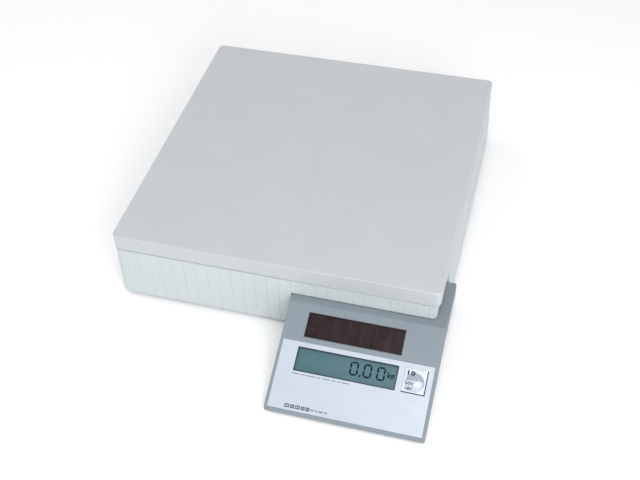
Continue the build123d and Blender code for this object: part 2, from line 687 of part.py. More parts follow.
# Stiffener: steel sheet under the cover, with four cups that centre it on the pads
with BuildPart() as platform_stiffener:
    with BuildSketch(level(STIFFENER_Z)):
        RectangleRounded(STIFFENER, STIFFENER, CORNER_R)
        with GridLocations(STAKE_PITCH, STAKE_PITCH, STAKE_COUNT, STAKE_COUNT):
            Circle(STAKE_R + FIT_GAP, mode=Mode.SUBTRACT)
    extrude(amount=STIFFENER_T)
    with BuildSketch(level(STIFFENER_Z)):
        with GridLocations(PAD_PITCH, PAD_PITCH, 2, 2):
            Circle(PAD_R + CUP_GAP + CUP_T)
            Circle(PAD_R + CUP_GAP, mode=Mode.SUBTRACT)
    extrude(amount=-CUP_H)
save(platform_stiffener.part, "platform_stiffener")

# ---- Console ----

# Top shell: a flat roof that tucks under the base, and a sloping face with three windows
with BuildPart() as console_top_shell:
    with BuildSketch(side(CONSOLE_LEFT)):
        with BuildLine():
            Polyline(
                (BACK_Y, CONSOLE_TOP_Z),
                (FOLD_Y, CONSOLE_TOP_Z),
                (FRONT_Y, face_z(FRONT_Y)),
                (FRONT_Y, EDGE_Z),
                (FOLD_Y, SKIRT_Z),
                (BACK_Y, SKIRT_Z),
                close=True,
            )
        make_face()
    extrude(amount=CONSOLE_W)
    fillet(console_top_shell.edges().filter_by(Axis.Z), radius=CONSOLE_CORNER_R)
    upper_faces = console_top_shell.faces().filter_by(lambda f: f.normal_at().Z > cos(2 * SLOPE))
    rims = upper_faces.edges().filter_by(lambda e: abs(e.center().Y - PY - FOLD_Y) > SHELL)
    side_rims = rims.filter_by(lambda e: abs(e.center().X - PX - UNDER_CENTER_X) > SHELL)
    end_rims = rims.filter_by(Axis.X)
    fillet(side_rims + end_rims, radius=CONSOLE_EDGE_R)
    with BuildSketch(side(CONSOLE_LEFT + SHELL)):
        with BuildLine():
            Polyline(
                (BACK_Y - SHELL, 0),
                (BACK_Y - SHELL, CONSOLE_TOP_Z - SHELL),
                (FOLD_Y + SHELL * tan(SLOPE / 2), CONSOLE_TOP_Z - SHELL),
                (FRONT_Y + SHELL, face_z(FRONT_Y + SHELL, SHELL)),
                (FRONT_Y + SHELL, 0),
                close=True,
            )
        make_face()
    extrude(amount=CONSOLE_W - 2 * SHELL, mode=Mode.SUBTRACT)
    # Openings for the solar cell, the display and the key
    with BuildSketch(slope(0)):
        with Locations((SOLAR_X, -SOLAR_S)):
            Rectangle(SOLAR_W, SOLAR_H)
        with Locations((LCD_X, -LCD_S)):
            Rectangle(LCD_W, LCD_H)
        with Locations((KEY_X, -KEY_S)):
            Rectangle(KEY_W, KEY_H)
    extrude(amount=-OPENING_CUT, mode=Mode.SUBTRACT)
    with BuildSketch(slope(0)):
        with Locations((SOLAR_X, -SOLAR_S)):
            Rectangle(SOLAR_W + 2 * SOLAR_BEVEL, SOLAR_H + 2 * SOLAR_BEVEL)
    extrude(amount=-SOLAR_BEVEL, taper=BEVEL_ANGLE, mode=Mode.SUBTRACT)
    # Slots for the dock's guide ribs
    with BuildSketch(level(CONSOLE_TOP_Z)):
        with Locations(*[(x, BACK_Y) for x in GUIDE_XS]):
            slot_l = CONSOLE_DEPTH_IN - GUIDE_START + 2 * GUIDE_SLACK
            Rectangle(GUIDE_W + 2 * GUIDE_SLACK, slot_l, align=(Align.CENTER, Align.MAX))
    extrude(amount=-SLOT_DEPTH, mode=Mode.SUBTRACT)
    # Bosses for the case screws and posts for the circuit board
    with BuildSketch(level(CASE_BACK_BOSS_Z + FIT_GAP)):
        with Locations(*[(x, CASE_BACK_Y) for x in CASE_XS]):
            Circle(CASE_BOSS_R)
    extrude(amount=CONSOLE_TOP_Z - SHELL / 2 - CASE_BACK_BOSS_Z - FIT_GAP)
    with BuildSketch(level(CASE_FRONT_BOSS_Z + FIT_GAP)):
        with Locations(*[(x, CASE_FRONT_Y) for x in CASE_XS]):
            Circle(CASE_BOSS_R)
    extrude(amount=CASE_FRONT_TOP_Z - CASE_FRONT_BOSS_Z - FIT_GAP)
    for boss_y, boss_z in ((CASE_BACK_Y, CASE_BACK_BOSS_Z), (CASE_FRONT_Y, CASE_FRONT_BOSS_Z)):
        with BuildSketch(level(boss_z)):
            with Locations(*[(x, boss_y) for x in CASE_XS]):
                Circle(CASE_SCREW_R + FIT_GAP / 2)
        extrude(amount=CASE_SCREW_L - CASE_HEAD_H, mode=Mode.SUBTRACT)
    # The label's recess, cut after the front bosses, which reach into it
    with BuildSketch(slope(-LABEL_T)):
        with Locations((LABEL_X, -LABEL_S)):
            RectangleRounded(LABEL_W + 2 * FIT_GAP, LABEL_H + 2 * FIT_GAP, LABEL_R)
    extrude(amount=-2 * LABEL_T, mode=Mode.SUBTRACT)
    with BuildSketch(slope(SHELL / 2)):
        with Locations(*[(x, -s) for x, s in BOARD_SCREWS]):
            Circle(POST_SMALL_R)
    extrude(amount=SHELL / 2 - BOARD_DEPTH)
    with BuildSketch(slope(BOARD_DEPTH)):
        with Locations(*[(x, -s) for x, s in BOARD_SCREWS]):
            Circle(SMALL_SCREW_R + FIT_GAP / 2)
    extrude(amount=SMALL_SCREW_GRIP - BOARD_T + FIT_GAP, mode=Mode.SUBTRACT)
save(console_top_shell.part, "console_top_shell")

# Bottom shell: a tray set back under the top shell's skirt
with BuildPart() as console_bottom_shell:
    with BuildSketch(side(CONSOLE_LEFT + UNDER_INSET)):
        with BuildLine():
            Polyline(
                (BACK_Y - UNDER_INSET, UNDER_Z),
                (BACK_Y - UNDER_INSET, UNDER_TOP_Z),
                (FOLD_Y, UNDER_TOP_Z),
                (FRONT_Y + UNDER_INSET, UNDER_FRONT_Z),
                (FRONT_Y + UNDER_INSET, UNDER_Z),
                close=True,
            )
        make_face()
    extrude(amount=CONSOLE_W - 2 * UNDER_INSET)
    fillet(console_bottom_shell.edges().filter_by(Axis.Z), radius=CONSOLE_CORNER_R)
    under_skin = UNDER_INSET + UNDER_WALL
    with BuildSketch(level(UNDER_Z + UNDER_WALL)):
        with Locations((UNDER_CENTER_X, (BACK_Y + FRONT_Y) / 2)):
            Rectangle(CONSOLE_W - 2 * under_skin, BACK_Y - FRONT_Y - 2 * under_skin)
    extrude(amount=UNDER_TOP_Z, mode=Mode.SUBTRACT)
    for boss_y, boss_z in ((CASE_BACK_Y, CASE_BACK_BOSS_Z), (CASE_FRONT_Y, CASE_FRONT_BOSS_Z)):
        with BuildSketch(level(UNDER_Z)):
            with Locations(*[(x, boss_y) for x in CASE_XS]):
                Circle(CASE_BOSS_R)
        extrude(amount=boss_z - UNDER_Z)
        with BuildSketch(level(UNDER_Z)):
            with Locations(*[(x, boss_y) for x in CASE_XS]):
                Circle(CASE_BORE_R)
        extrude(amount=boss_z - CASE_HEAD_H - UNDER_Z, mode=Mode.SUBTRACT)
        with BuildSketch(level(UNDER_Z)):
            with Locations(*[(x, boss_y) for x in CASE_XS]):
                Circle(CASE_SCREW_R + FIT_GAP)
        extrude(amount=boss_z - UNDER_Z, mode=Mode.SUBTRACT)
    with BuildSketch(level(UNDER_Z)):
        with Locations(*CONSOLE_FEET.values()):
            Circle(CONSOLE_FOOT_R + FIT_GAP)
    extrude(amount=CONSOLE_FOOT_SINK, mode=Mode.SUBTRACT)
    with BuildSketch(wall(BACK_Y, GROMMET_X, GROMMET_Z)):
        Circle(GROMMET_NECK_R + FIT_GAP)
    extrude(amount=2 * under_skin, mode=Mode.SUBTRACT)
save(console_bottom_shell.part, "console_bottom_shell")

# Case screws, driven up through the bottom shell into the top shell's bosses
with BuildPart() as case_screws:
    for boss_y, boss_z in ((CASE_BACK_Y, CASE_BACK_BOSS_Z), (CASE_FRONT_Y, CASE_FRONT_BOSS_Z)):
        with BuildSketch(level(boss_z - CASE_HEAD_H)):
            with Locations(*[(x, boss_y) for x in CASE_XS]):
                Circle(CASE_HEAD_R)
        extrude(amount=-CASE_HEAD_H)
        with BuildSketch(level(boss_z - CASE_HEAD_H)):
            with Locations(*[(x, boss_y) for x in CASE_XS]):
                Circle(CASE_SCREW_R)
        extrude(amount=CASE_SCREW_L)
save(case_screws.part, "case_screws")

# Rubber feet in shallow recesses of the bottom shell
for foot_name, foot_at in CONSOLE_FEET.items():
    with BuildPart() as console_foot:
        with BuildSketch(level(0)):
            with Locations(foot_at):
                Circle(CONSOLE_FOOT_R)
        extrude(amount=UNDER_Z + CONSOLE_FOOT_SINK)
        chamfer(console_foot.faces().sort_by(Axis.Z)[0].edges(), length=CONSOLE_FOOT_SINK)
    save(console_foot.part, foot_name)

# Strain relief bush where the lead enters the console's back
with BuildPart() as lead_gland:
    gland_y = BACK_Y - UNDER_INSET
    with BuildSketch(wall(gland_y, GROMMET_X, GROMMET_Z)):
        Circle(GROMMET_NECK_R)
    extrude(amount=UNDER_WALL + GROMMET_FLANGE)
    with BuildSketch(wall(gland_y, GROMMET_X, GROMMET_Z)):
        Circle(GROMMET_R)
    extrude(amount=-GROMMET_FLANGE)
    with BuildSketch(wall(gland_y + GROMMET_FLANGE, GROMMET_X, GROMMET_Z)):
        Circle(LEAD_R + FIT_GAP)
    extrude(amount=UNDER_WALL + 2 * GROMMET_FLANGE, mode=Mode.SUBTRACT)
save(lead_gland.part, "lead_gland")


def slab(x, s, width, height, depth, thickness):
    """A flat slab parallel to the sloping face, added to the part being built."""
    with BuildSketch(slope(depth)) as outline:
        with Locations((x, -s)):
            Rectangle(width, height)
    extrude(outline.sketch, amount=-thickness)


# Clear window over the solar cell
with BuildPart() as solar_window:
    slab(SOLAR_X, SOLAR_S, SOLAR_W - 2 * FIT_GAP, SOLAR_H - 2 * FIT_GAP, WINDOW_DEPTH, WINDOW_T)
save(solar_window.part, "solar_window")

# Solar cell: an amorphous silicon plate
with BuildPart() as solar_cell:
    cell_w = SOLAR_W + 2 * SOLAR_OVERLAP
    slab(SOLAR_X, SOLAR_S, cell_w, SOLAR_H + 2 * SOLAR_OVERLAP, CELL_DEPTH, SOLAR_CELL_T)
save(solar_cell.part, "solar_cell")

# Plate that clips the solar cell against the shell
with BuildPart() as solar_backplate:
    plate_rim = SOLAR_OVERLAP + BACKPLATE_RIM
    slab(SOLAR_X, SOLAR_S, SOLAR_W + 2 * plate_rim, SOLAR_H + 2 * plate_rim,
         BACKPLATE_DEPTH, BACKPLATE_T)
    through = Axis((0, 0, 0), slope(0).z_dir)
    fillet(solar_backplate.edges().filter_by(through), radius=BACKPLATE_RIM)
save(solar_backplate.part, "solar_backplate")

# Clear window over the display
with BuildPart() as lcd_window:
    slab(LCD_X, LCD_S, LCD_W - 2 * FIT_GAP, LCD_H - 2 * FIT_GAP, WINDOW_DEPTH, WINDOW_T)
save(lcd_window.part, "lcd_window")

# Liquid crystal display glass
with BuildPart() as lcd_glass:
    slab(LCD_X, LCD_S, LCD_W + 2 * GLASS_OVERLAP, LCD_H + 2 * GLASS_OVERLAP, GLASS_DEPTH, GLASS_T)
save(lcd_glass.part, "lcd_glass")

# Frame that holds the display glass against the circuit board
with BuildPart() as lcd_holder:
    holder_rim = GLASS_OVERLAP + HOLDER_RIM
    with BuildSketch(slope(GLASS_DEPTH)):
        with Locations((LCD_X, -LCD_S)):
            Rectangle(LCD_W + 2 * holder_rim, LCD_H + 2 * holder_rim)
            glass_gap = GLASS_OVERLAP + FIT_GAP
            Rectangle(LCD_W + 2 * glass_gap, LCD_H + 2 * glass_gap, mode=Mode.SUBTRACT)
    extrude(amount=GLASS_DEPTH - BOARD_DEPTH)
save(lcd_holder.part, "lcd_holder")

# Elastomer strips that connect the display glass to the circuit board
with BuildPart() as contact_strips:
    strip_depth = GLASS_DEPTH + GLASS_T
    with BuildSketch(slope(strip_depth)):
        with Locations((LCD_X, -LCD_S)):
            with GridLocations(0, LCD_H + GLASS_OVERLAP / 2, 1, 2):
                Rectangle(LCD_W, GLASS_OVERLAP)
    extrude(amount=strip_depth - BOARD_DEPTH)
save(contact_strips.part, "contact_strips")

# Printed label over the lower part of the sloping face, cut out for the display and the key
with BuildPart() as label_overlay:
    with BuildSketch(slope(0)):
        with Locations((LABEL_X, -LABEL_S)):
            RectangleRounded(LABEL_W, LABEL_H, LABEL_R)
        with Locations((LCD_X, -LCD_S)):
            Rectangle(LCD_W, LCD_H, mode=Mode.SUBTRACT)
        with Locations((KEY_X, -KEY_S)):
            Rectangle(KEY_W, KEY_H, mode=Mode.SUBTRACT)
    extrude(amount=-LABEL_T)
save(label_overlay.part, "label_overlay")

# Circuit board
with BuildPart() as circuit_board:
    with BuildSketch(slope(BOARD_DEPTH)):
        with Locations((BOARD_X, -BOARD_S)):
            Rectangle(BOARD_W, BOARD_H)
        with Locations(*[(x, -s) for x, s in BOARD_SCREWS]):
            Circle(SMALL_SCREW_R + FIT_GAP, mode=Mode.SUBTRACT)
    extrude(amount=-BOARD_T)
save(circuit_board.part, "circuit_board")

# Screws that hold the circuit board on its posts
with BuildPart() as board_screws:
    with BuildSketch(slope(BOARD_UNDERSIDE)):
        with Locations(*[(x, -s) for x, s in BOARD_SCREWS]):
            Circle(SMALL_SCREW_HEAD_R)
    extrude(amount=-SMALL_SCREW_HEAD_H)
    with BuildSketch(slope(BOARD_UNDERSIDE)):
        with Locations(*[(x, -s) for x, s in BOARD_SCREWS]):
            Circle(SMALL_SCREW_R)
    extrude(amount=SMALL_SCREW_GRIP)
save(board_screws.part, "board_screws")

# Controller chip under a drop of resin
with BuildPart() as controller_chip:
    with BuildSketch(slope(BOARD_UNDERSIDE)):
        with Locations((CHIP_X, -CHIP_S)):
            Circle(CHIP_R)
    extrude(amount=-CHIP_T)
    fillet(controller_chip.faces().sort_by(Axis.Z)[0].edges(), radius=CHIP_ROUND)
save(controller_chip.part, "controller_chip")

# Storage capacitor that keeps the solar cell's charge
with BuildPart() as storage_capacitor:
    with BuildSketch(slope(BOARD_UNDERSIDE)):
        with Locations((CAPACITOR_X, -CAPACITOR_S)):
            Circle(CAPACITOR_R)
    extrude(amount=-CAPACITOR_H)
    fillet(storage_capacitor.faces().sort_by(Axis.Z)[0].edges(), radius=CAPACITOR_ROUND)
save(storage_capacitor.part, "storage_capacitor")

# Small resistors and capacitors in a row beside the chip
with BuildPart() as board_components:
    with BuildSketch(slope(BOARD_UNDERSIDE)):
        with Locations(*[(x, -s) for x, s in COMPONENT_ROWS]):
            with GridLocations(COMPONENT_PITCH, 0, COMPONENT_COUNT, 1):
                Rectangle(COMPONENT_W, COMPONENT_H)
    extrude(amount=-COMPONENT_T)
save(board_components.part, "board_components")

# Socket on the circuit board for the load cell's lead
with BuildPart() as lead_socket:
    with BuildSketch(slope(BOARD_UNDERSIDE)):
        with Locations((SOCKET_X, -SOCKET_S)):
            Rectangle(SOCKET_W, SOCKET_H)
    extrude(amount=-SOCKET_T)
save(lead_socket.part, "lead_socket")

# Key switch body, with a bore for the plunger and a chamber for the snap dome
with BuildPart() as key_switch:
    slab(KEY_X, KEY_S, SWITCH_W, SWITCH_W, SWITCH_DEPTH, BOARD_DEPTH - SWITCH_DEPTH)
    with BuildSketch(slope(SWITCH_DEPTH)):
        with Locations((KEY_X, -KEY_S)):
            Circle(PLUNGER_R + PLUNGER_GAP)
    extrude(amount=SWITCH_DEPTH - CAVITY_DEPTH, mode=Mode.SUBTRACT)
    with BuildSketch(slope(CAVITY_DEPTH)):
        with Locations((KEY_X, -KEY_S)):
            Circle(CAVITY_R)
    extrude(amount=-CAVITY_T, mode=Mode.SUBTRACT)
save(key_switch.part, "key_switch")

# Snap dome: a thin metal cone that gives the key its click
with BuildPart() as snap_dome:
    dome_top = KEY_FLANGE_DEPTH + KEY_FLANGE_T + PLUNGER_GAP + PLUNGER_L + PLUNGER_GAP
    dome_h = CAVITY_DEPTH + CAVITY_T - dome_top
    with BuildSketch(slope(dome_top)):
        with Locations((KEY_X, -KEY_S)):
            Circle(PLUNGER_R)
    extrude(amount=-dome_h, taper=DOME_TAPER)
    with BuildSketch(slope(dome_top + DOME_T)):
        with Locations((KEY_X, -KEY_S)):
            Circle(PLUNGER_R - DOME_T / 2)
    extrude(amount=-dome_h, taper=DOME_TAPER, mode=Mode.SUBTRACT)
save(snap_dome.part, "snap_dome")

# ---- Key ----

# Key cap: flush with the label, with a low dome for the fingertip and a flange under the shell
with BuildPart() as key_cap:
    slab(KEY_X, KEY_S, KEY_W - 2 * KEY_GAP, KEY_H - 2 * KEY_GAP, 0, KEY_FLANGE_DEPTH)
    slab(KEY_X, KEY_S, KEY_W + 2 * KEY_FLANGE, KEY_H + 2 * KEY_FLANGE, KEY_FLANGE_DEPTH, KEY_FLANGE_T)
    dome_sphere_r = (KEY_DOME_R**2 + KEY_DOME_RISE**2) / (2 * KEY_DOME_RISE)
    dome_center = slope(0).from_local_coords(
        Vector(KEY_X, -(KEY_S + KEY_DOME_DROP), KEY_DOME_RISE - dome_sphere_r)
    )
    with BuildSketch(Plane(origin=dome_center, x_dir=(1, 0, 0), z_dir=slope(0).y_dir * -1)):
        with BuildLine():
            low = dome_sphere_r - KEY_DOME_RISE
            spread = degrees(acos(low / dome_sphere_r))
            cap_arc = CenterArc((0, 0), dome_sphere_r, 90 - spread, spread)
            Polyline(cap_arc @ 1, (0, low), cap_arc @ 0)
        make_face()
    revolve(axis=Axis(dome_center, slope(0).z_dir))
save(key_cap.part, "key_cap")

# Plunger between the key cap and the snap dome
with BuildPart() as switch_plunger:
    with BuildSketch(slope(KEY_FLANGE_DEPTH + KEY_FLANGE_T + PLUNGER_GAP)):
        with Locations((KEY_X, -KEY_S)):
            Circle(PLUNGER_R)
    extrude(amount=-PLUNGER_L)
save(switch_plunger.part, "switch_plunger")
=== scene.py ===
"""The looks of a platform shipping scale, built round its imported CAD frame.

Every length is in metres, in the frame's own axes. The object's front faces -Y, and the table is at
z = 0.
"""

import json
from math import cos, radians, sin

import bmesh
import bpy
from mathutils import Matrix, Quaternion, Vector


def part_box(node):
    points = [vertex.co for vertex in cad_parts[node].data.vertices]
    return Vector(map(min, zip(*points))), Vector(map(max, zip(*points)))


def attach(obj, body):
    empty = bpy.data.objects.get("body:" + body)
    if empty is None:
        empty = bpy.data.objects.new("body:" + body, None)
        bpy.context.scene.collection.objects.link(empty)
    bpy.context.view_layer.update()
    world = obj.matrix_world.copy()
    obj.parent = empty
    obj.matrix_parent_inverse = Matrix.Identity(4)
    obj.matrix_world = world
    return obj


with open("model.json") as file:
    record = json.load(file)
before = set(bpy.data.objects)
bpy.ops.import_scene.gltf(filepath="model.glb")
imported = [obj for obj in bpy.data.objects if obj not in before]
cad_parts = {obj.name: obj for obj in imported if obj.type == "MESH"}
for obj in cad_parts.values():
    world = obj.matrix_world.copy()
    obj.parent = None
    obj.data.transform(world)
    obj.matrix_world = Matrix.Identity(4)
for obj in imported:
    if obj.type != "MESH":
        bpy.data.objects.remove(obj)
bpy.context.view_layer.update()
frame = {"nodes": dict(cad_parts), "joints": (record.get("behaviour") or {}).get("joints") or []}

MM = 0.001
HAIR = 0.02 * MM
FULL_TURN = 360.0
NODES = frame["nodes"]

# ---- Colours, as they look on a screen ----


WHOLE = 255


def screen(red, green, blue):
    """A linear colour from its 0 to 255 values on a screen."""
    shares = [value / WHOLE for value in (red, green, blue)]
    linear = [s / 12.92 if s <= 0.04045 else ((s + 0.055) / 1.055) ** 2.4 for s in shares]
    return (*linear, 1.0)


OFF_WHITE = screen(193, 201, 203)
PLATFORM_WHITE = screen(190, 194, 198)
BLUE_GREY = screen(128, 138, 146)
PALE_GREY = screen(150, 157, 163)
CHARCOAL = screen(38, 39, 42)
ZINC = screen(196, 198, 200)
SCREW_ZINC = screen(204, 202, 192)
ALUMINIUM = screen(214, 216, 219)
BRIGHT_STEEL = screen(205, 205, 203)
SILICONE = screen(226, 226, 220)
LEAD_GREY = screen(132, 134, 138)
RUBBER_BLACK = screen(44, 44, 46)
STRIP_BLACK = screen(52, 50, 54)
LABEL_PALE = screen(186, 195, 206)
LCD_GREEN = screen(84, 114, 125)
SILICON_BROWN = screen(55, 40, 43)
SILICON_LINE = screen(64, 51, 54)
BOARD_GREEN = screen(38, 92, 62)
RESIN_BLACK = screen(34, 34, 36)
SLEEVE_BLUE = screen(38, 48, 86)
SOCKET_CREAM = screen(226, 221, 204)
INK = screen(44, 54, 66)
SOFT_INK = screen(104, 114, 128)
PALE_INK = screen(118, 127, 142)
LCD_INK = screen(10, 27, 42)
STICKER_SILVER = screen(206, 209, 213)
WINDOW_CLEAR = screen(247, 250, 250)
FLOOR_PALE = screen(253, 253, 254)
WHITE = screen(WHOLE, WHOLE, WHOLE)

# ---- Building materials ----

EVEN = (1.0, 1.0, 1.0)
MIX_SHARE, MIX_FIRST, MIX_SECOND, MIX_RESULT = 0, 6, 7, 2
PLASTIC_IOR = 1.5
POLYESTER_IOR = 1.52
COATED_IOR = 1.22
WINDOW_IOR = 1.06

# The part of a noise's values that a change is spread over, from its low to its high end
MIDDLE = (0.3, 0.7)
NARROW = (0.35, 0.65)
HIGHER = (0.45, 0.75)
HIGHEST = (0.5, 0.8)
UPPER = (0.4, 0.7)

# How well the rounded and the true direction of a surface agree, on flat ground and on an edge
AGREE_FLAT, AGREE_EDGE = 0.995, 0.85
BEVEL_SAMPLES = 4


class Finish:
    """A material under construction, with short ways to add its nodes."""

    def __init__(self, name):
        self.material = bpy.data.materials.new(name)
        self.material.use_nodes = True
        self.nodes = self.material.node_tree.nodes
        self.links = self.material.node_tree.links
        self.nodes.clear()
        self.place = self.add("TexCoord").outputs["Object"]

    def add(self, kind, inputs=None, **settings):
        """A shader node with its settings made and its inputs set or linked."""
        node = self.nodes.new("ShaderNode" + kind)
        for name, value in settings.items():
            setattr(node, name, value)
        for key, value in (inputs or {}).items():
            if isinstance(value, bpy.types.NodeSocket):
                self.links.new(value, node.inputs[key])
            else:
                node.inputs[key].default_value = value
        return node

    def at(self, size, stretch=EVEN):
        """The place on the object, scaled so that one unit is that size in metres, longer by stretch."""
        scale = [1 / (size * share) for share in stretch]
        return self.add("Mapping", {"Vector": self.place, "Scale": scale}).outputs[0]

    def noise(self, size, detail=2.0, stretch=EVEN):
        """Soft noise from 0 to 1 with features of that size."""
        inputs = {"Vector": self.at(size, stretch), "Scale": 1.0, "Detail": detail}
        return self.add("TexNoise", inputs).outputs["Fac"]

    def cells(self, size, feature="F1", stretch=EVEN):
        """Voronoi cells of that size: the node, for its Distance and Color."""
        inputs = {"Vector": self.at(size, stretch), "Scale": 1.0}
        return self.add("TexVoronoi", inputs, feature=feature)

    def spread(self, value, low, high, to_low=0.0, to_high=1.0):
        """Value from low to high, brought to the range from to_low to to_high."""
        inputs = {0: value, 1: low, 2: high, 3: to_low, 4: to_high}
        return self.add("MapRange", inputs).outputs[0]

    def around(self, value, middle, below, above):
        """A number that drifts with a noise, from below a middle to above it."""
        return self.spread(value, *MIDDLE, middle - below, middle + above)

    def maths(self, operation, first, second):
        """One sum on two values."""
        return self.add("Math", {0: first, 1: second}, operation=operation).outputs[0]

    def mix(self, share, first, second):
        """Two colours mixed, by the second one's share."""
        inputs = {MIX_SHARE: share, MIX_FIRST: first, MIX_SECOND: second}
        return self.add("Mix", inputs, data_type="RGBA").outputs[MIX_RESULT]

    def tinged(self, ground, colour, value, band, most):
        """The ground, with up to that share of a second colour where the value is high in its band."""
        return self.mix(self.spread(value, *band, 0.0, most), ground, colour)

    def rounded(self, radius):
        """The surface's direction, with the hard edges turned softly over that radius."""
        return self.add("Bevel", {"Radius": radius}, samples=BEVEL_SAMPLES).outputs[0]

    def edges(self, radius):
        """1 along the edges and 0 on flat ground."""
        true_way = self.add("NewGeometry").outputs["Normal"]
        inputs = {0: self.rounded(radius), 1: true_way}
        agreement = self.add("VectorMath", inputs, operation="DOT_PRODUCT").outputs["Value"]
        return self.spread(agreement, AGREE_FLAT, AGREE_EDGE)

    def bump(self, height, distance, normal=None):
        """The surface's direction with a relief of that distance in metres."""
        inputs = {"Height": height, "Distance": distance, "Strength": 1.0}
        if normal is not None:
            inputs["Normal"] = normal
        return self.add("Bump", inputs).outputs[0]

    def principled(self, colour, roughness, normal, metallic=0.0, ior=PLASTIC_IOR):
        """Closes the material with one Principled shader."""
        inputs = {"Base Color": colour, "Roughness": roughness, "Normal": normal}
        inputs.update({"Metallic": metallic, "IOR": ior})
        shader = self.add("BsdfPrincipled", inputs)
        self.add("OutputMaterial", {"Surface": shader.outputs[0]})
        return self.material


def shade(colour, factor):
    """The same colour, lighter or darker."""
    return (*[min(1.0, channel * factor) for channel in colour[:3]], 1.0)


def moulded(name, colour, roughness, grain=0.55 * MM, round_edge=0.35 * MM, rub_and_highlight=0.35):
    """Moulded plastic: spark-eroded grain, slow flow marks, edges rubbed shinier, and edges made paler
    by a painted highlight.
    """
    skin = Finish(name)
    flow = skin.noise(45 * MM, detail=3.0)
    sparks = skin.noise(grain, detail=3.0)
    edges_worn_and_highlit = skin.edges(0.9 * MM)
    ground = skin.mix(skin.spread(flow, *MIDDLE), shade(colour, 0.975), shade(colour, 1.02))
    speckled = skin.tinged(ground, shade(colour, 0.965), sparks, NARROW, most=0.5)
    # Paler edges: a painted highlight along the rounded edges plus a little wear, by the share in
    # rub_and_highlight.
    rubbed_and_highlit = skin.mix(skin.maths("MULTIPLY", edges_worn_and_highlit, rub_and_highlight), speckled, shade(colour, 1.35))
    handled = skin.around(skin.noise(14 * MM, detail=4.0), roughness, below=0.05, above=0.06)
    gloss = skin.maths("SUBTRACT", handled, skin.maths("MULTIPLY", edges_worn_and_highlit, 0.1))
    normal = skin.bump(sparks, 0.012 * MM, skin.rounded(round_edge))
    return skin.principled(rubbed_and_highlit, gloss, normal)


def rolled(name, colour, roughness):
    """Zinc-plated sheet: soft spangle, long rolling marks, and bright sheared edges."""
    skin = Finish(name)
    spangle = skin.cells(6 * MM).outputs["Color"]
    tone = skin.spread(skin.add("SeparateColor", {0: spangle}).outputs[0], 0.0, 1.0)
    rolling = skin.noise(0.5 * MM, detail=4.0, stretch=(60.0, 1.0, 1.0))
    haze = skin.noise(22 * MM, detail=4.0)
    ground = skin.mix(tone, shade(colour, 0.92), shade(colour, 1.05))
    hazed = skin.tinged(ground, shade(colour, 0.8), haze, HIGHER, most=0.35)
    bright = skin.mix(skin.maths("MULTIPLY", skin.edges(0.8 * MM), 0.5), hazed, shade(colour, 1.2))
    dulled = skin.around(haze, roughness, below=0.06, above=0.1)
    gloss = skin.maths("ADD", dulled, skin.spread(tone, 0.0, 1.0, -0.04, 0.04))
    normal = skin.bump(rolling, 0.006 * MM, skin.rounded(0.25 * MM))
    return skin.principled(bright, gloss, normal, metallic=1.0)


def machined(name, colour, roughness, stretch):
    """Turned or milled metal: fine tool marks along one way, with faint stains."""
    skin = Finish(name)
    marks = skin.noise(0.28 * MM, detail=3.0, stretch=stretch)
    stain = skin.noise(9 * MM, detail=4.0)
    ground = skin.mix(skin.spread(marks, *MIDDLE), shade(colour, 0.93), shade(colour, 1.05))
    stained = skin.tinged(ground, shade(colour, 0.82), stain, HIGHEST, most=0.3)
    gloss = skin.around(stain, roughness, below=0.05, above=0.08)
    normal = skin.bump(marks, 0.004 * MM, skin.rounded(0.2 * MM))
    return skin.principled(stained, gloss, normal, metallic=1.0)


def rubbery(name, colour, roughness, dust=0.25):
    """Rubber or silicone: matt, softly pitted, and dusty in patches."""
    skin = Finish(name)
    pits = skin.noise(0.35 * MM, detail=3.0)
    settled = skin.noise(6 * MM, detail=5.0)
    pale = shade(colour, 1.0 + 2.4 * dust)
    ground = skin.tinged(colour, pale, settled, HIGHER, most=dust)
    gloss = skin.around(settled, roughness, below=0.06, above=0.06)
    normal = skin.bump(pits, 0.02 * MM, skin.rounded(0.3 * MM))
    return skin.principled(ground, gloss, normal)


def film(name, colour, roughness, relief=0.006 * MM):
    """Printed polyester film: satin, with a fine emboss and slow ripples where it is glued down."""
    skin = Finish(name)
    emboss = skin.cells(0.3 * MM).outputs["Distance"]
    ripple = skin.noise(30 * MM, detail=2.0)
    ground = skin.mix(skin.spread(ripple, *MIDDLE), shade(colour, 0.98), shade(colour, 1.015))
    flecked = skin.tinged(ground, shade(colour, 0.96), skin.noise(0.8 * MM), UPPER, most=0.25)
    gloss = skin.around(skin.noise(11 * MM, detail=4.0), roughness, below=0.05, above=0.06)
    fine = skin.bump(emboss, relief)
    return skin.principled(flecked, gloss, skin.bump(ripple, 0.05 * MM, fine), ior=POLYESTER_IOR)


def ink(name, colour, roughness=0.45, ior=PLASTIC_IOR):
    """Screen-printed ink: thin in places, with an uneven sheen."""
    skin = Finish(name)
    body = skin.noise(0.6 * MM, detail=3.0)
    ground = skin.tinged(colour, shade(colour, 1.25), body, (0.35, 0.7), most=0.5)
    gloss = skin.around(skin.noise(3 * MM), roughness, below=0.06, above=0.08)
    return skin.principled(ground, gloss, skin.bump(body, 0.004 * MM), ior=ior)


